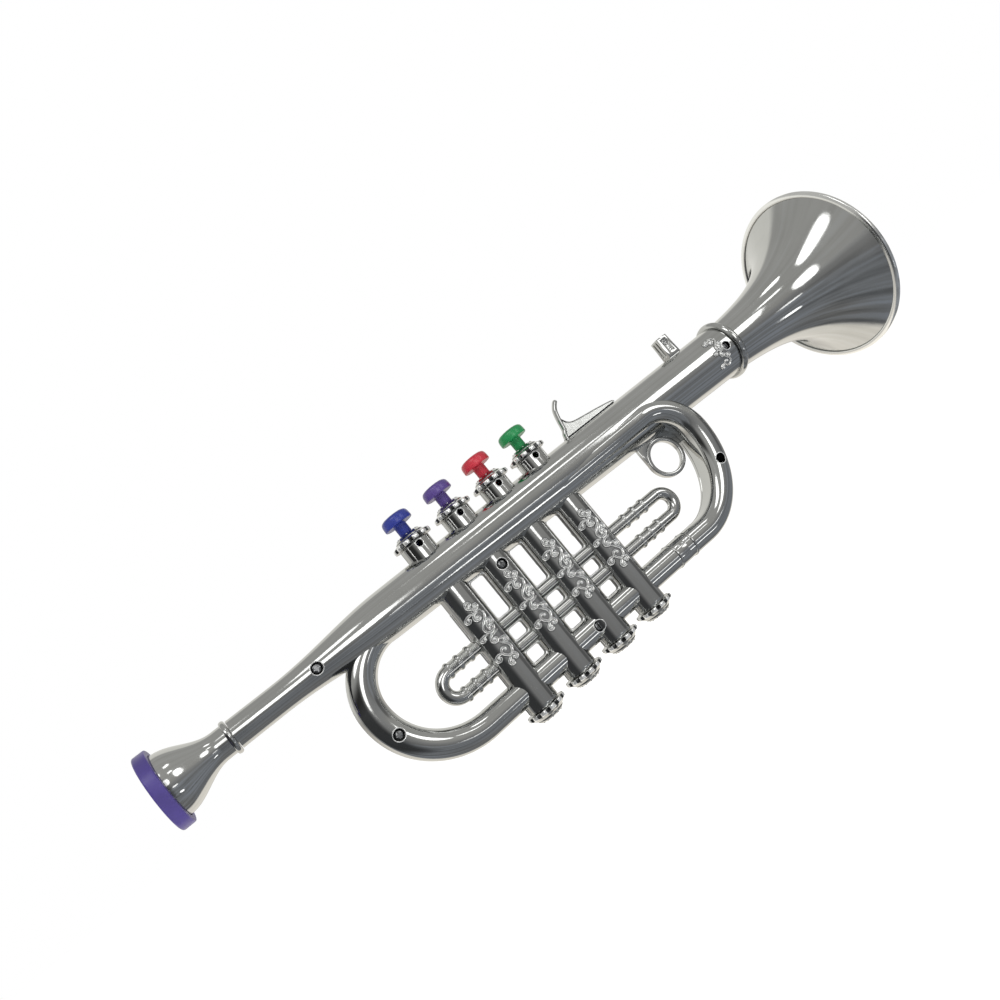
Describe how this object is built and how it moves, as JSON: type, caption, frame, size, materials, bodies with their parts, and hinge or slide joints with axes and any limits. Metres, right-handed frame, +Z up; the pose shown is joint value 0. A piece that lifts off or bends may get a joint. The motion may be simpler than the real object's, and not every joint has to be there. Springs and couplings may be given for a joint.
{
  "type": "toy trumpet",
  "caption": "Plastic toy trumpet with mirror plating, coloured spring-back keys, a flared bell and reeds hidden in the tube.",
  "frame": {"origin": "the hand grip, on the centre plane in the middle of the casings, half way between the two rods of the small slide", "axes": "+X along the tube from the mouthpiece to the bell, +Z up to the keys, -Y towards the side the screws go in"},
  "size_m": [0.37, 0.0886, 0.1135],
  "materials": {
    "plating": "vacuum-plated mirror chrome on moulded plastic",
    "rim_purple": "smooth moulded plastic",
    "key_blue": "smooth moulded plastic",
    "key_purple": "smooth moulded plastic",
    "key_red": "smooth moulded plastic",
    "key_green": "smooth moulded plastic",
    "screw_steel": "zinc-plated",
    "spring_steel": "drawn wire",
    "reed_brass": "rolled strip",
    "pad_rubber": "soft matt",
    "inner_plastic": "unplated moulded plastic"
  },
  "bodies": {
    "instrument": {"front_shell": "plating", "rear_shell": "plating", "bell": "plating", "mouthpiece_cup": "plating", "mouthpiece_rim": "rim_purple", "finger_ring": "plating", "finger_hook": "plating", "lyre_socket": "plating", "screw_leadpipe": "screw_steel", "screw_left_bend": "screw_steel", "screw_valve": "screw_steel", "screw_bottom_run": "screw_steel", "screw_right_bend": "screw_steel", "screw_bell": "screw_steel", "reed_block": "inner_plastic", "reed_plate": "inner_plastic", "reed_blue": "reed_brass", "reed_purple": "reed_brass", "reed_red": "reed_brass", "reed_green": "reed_brass", "key_spring_blue": "spring_steel", "key_spring_purple": "spring_steel", "key_spring_red": "spring_steel", "key_spring_green": "spring_steel", "tower_cap_blue": "plating", "tower_cap_purple": "plating", "tower_cap_red": "plating", "tower_cap_green": "plating", "bottom_cap_blue": "plating", "bottom_cap_purple": "plating", "bottom_cap_red": "plating", "bottom_cap_green": "plating"},
    "blue_key": {"key_blue": "key_blue", "pad_blue": "pad_rubber"},
    "purple_key": {"key_purple": "key_purple", "pad_purple": "pad_rubber"},
    "red_key": {"key_red": "key_red", "pad_red": "pad_rubber"},
    "green_key": {"key_green": "key_green", "pad_green": "pad_rubber"}
  },
  "joints": [
    {"name": "blue_press", "type": "slide", "parent": "instrument", "child": "blue_key", "axis": [0, 0, -1], "range_m": [0, 0.0035], "stiffness_N_per_m": 150, "springref_m": -0.002, "deforming": ["key_spring_blue"]},
    {"name": "purple_press", "type": "slide", "parent": "instrument", "child": "purple_key", "axis": [0, 0, -1], "range_m": [0, 0.0035], "stiffness_N_per_m": 150, "springref_m": -0.002, "deforming": ["key_spring_purple"]},
    {"name": "red_press", "type": "slide", "parent": "instrument", "child": "red_key", "axis": [0, 0, -1], "range_m": [0, 0.0035], "stiffness_N_per_m": 150, "springref_m": -0.002, "deforming": ["key_spring_red"]},
    {"name": "green_press", "type": "slide", "parent": "instrument", "child": "green_key", "axis": [0, 0, -1], "range_m": [0, 0.0035], "stiffness_N_per_m": 150, "springref_m": -0.002, "deforming": ["key_spring_green"]}
  ]
}
